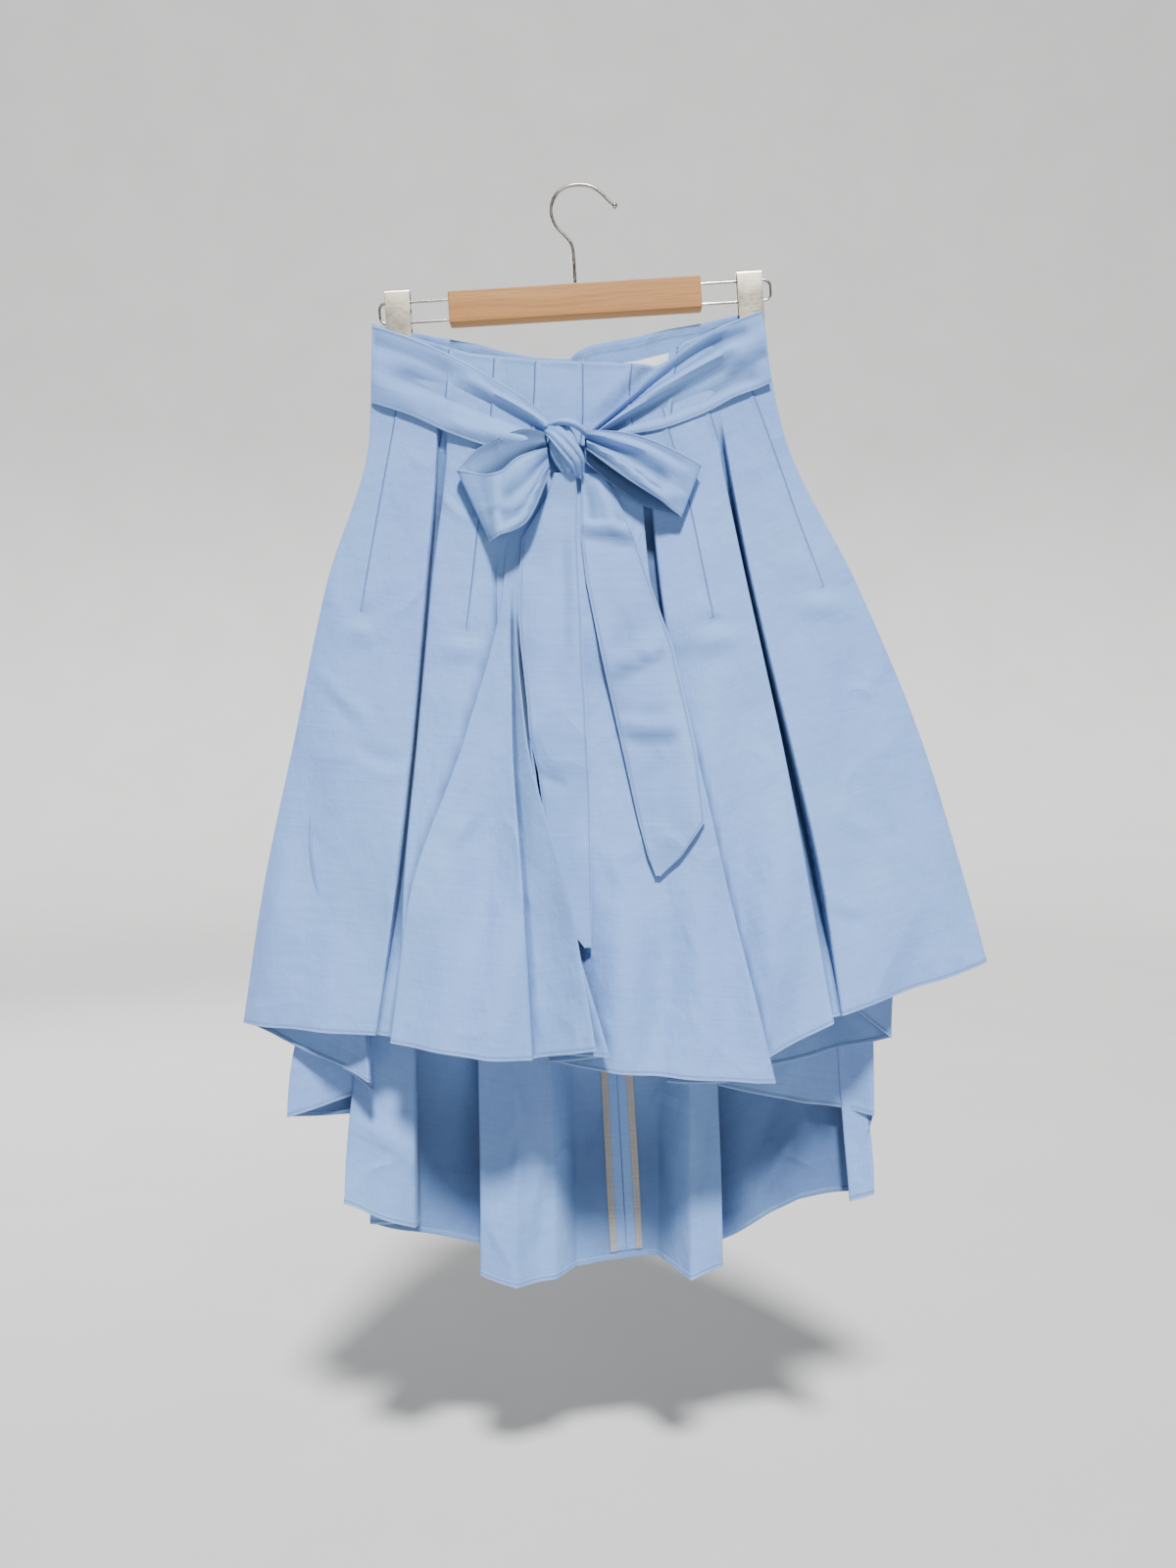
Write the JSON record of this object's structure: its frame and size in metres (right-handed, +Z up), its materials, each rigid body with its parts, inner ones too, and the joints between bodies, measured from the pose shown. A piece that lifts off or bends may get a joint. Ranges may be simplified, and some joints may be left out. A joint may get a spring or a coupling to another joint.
{
  "type": "high-low pleated skirt on a clip hanger",
  "caption": "Pleated wrap-look skirt with a dipped back hem and a wide ribbon tied in a bow at the front, held by two clips on a wooden bar hanger.",
  "frame": {"origin": "under the crown of the hook, where a rail carries the hanger", "axes": "+Z up, +X to the right of someone looking at the front, -Y out of the front"},
  "size_m": [0.6367, 0.1508, 0.9534],
  "materials": {
    "cloth": "light blue fine poplin, slight sheen",
    "ribbon": "light blue fine poplin, doubled and edge stitched",
    "binding": "beige bias tape",
    "label": "plain white woven label",
    "wood": "clear matt beech",
    "steel": "satin nickel plate"
  },
  "bodies": {
    "root": {"skirt_front": "cloth", "skirt_back_right": "cloth", "skirt_back_left": "cloth", "sash_left": "ribbon", "sash_right": "ribbon", "bow_loop_left": "ribbon", "bow_loop_right": "ribbon", "bow_knot": "ribbon", "tail_left": "ribbon", "tail_right": "ribbon", "binding_right": "binding", "binding_left": "binding", "waist_label": "label", "hanger_bar": "wood", "hanger_hook": "steel", "hanger_ball": "steel", "rail_left": "steel", "rail_right": "steel", "clip_left": "steel", "clip_right": "steel"}
  },
  "joints": []
}
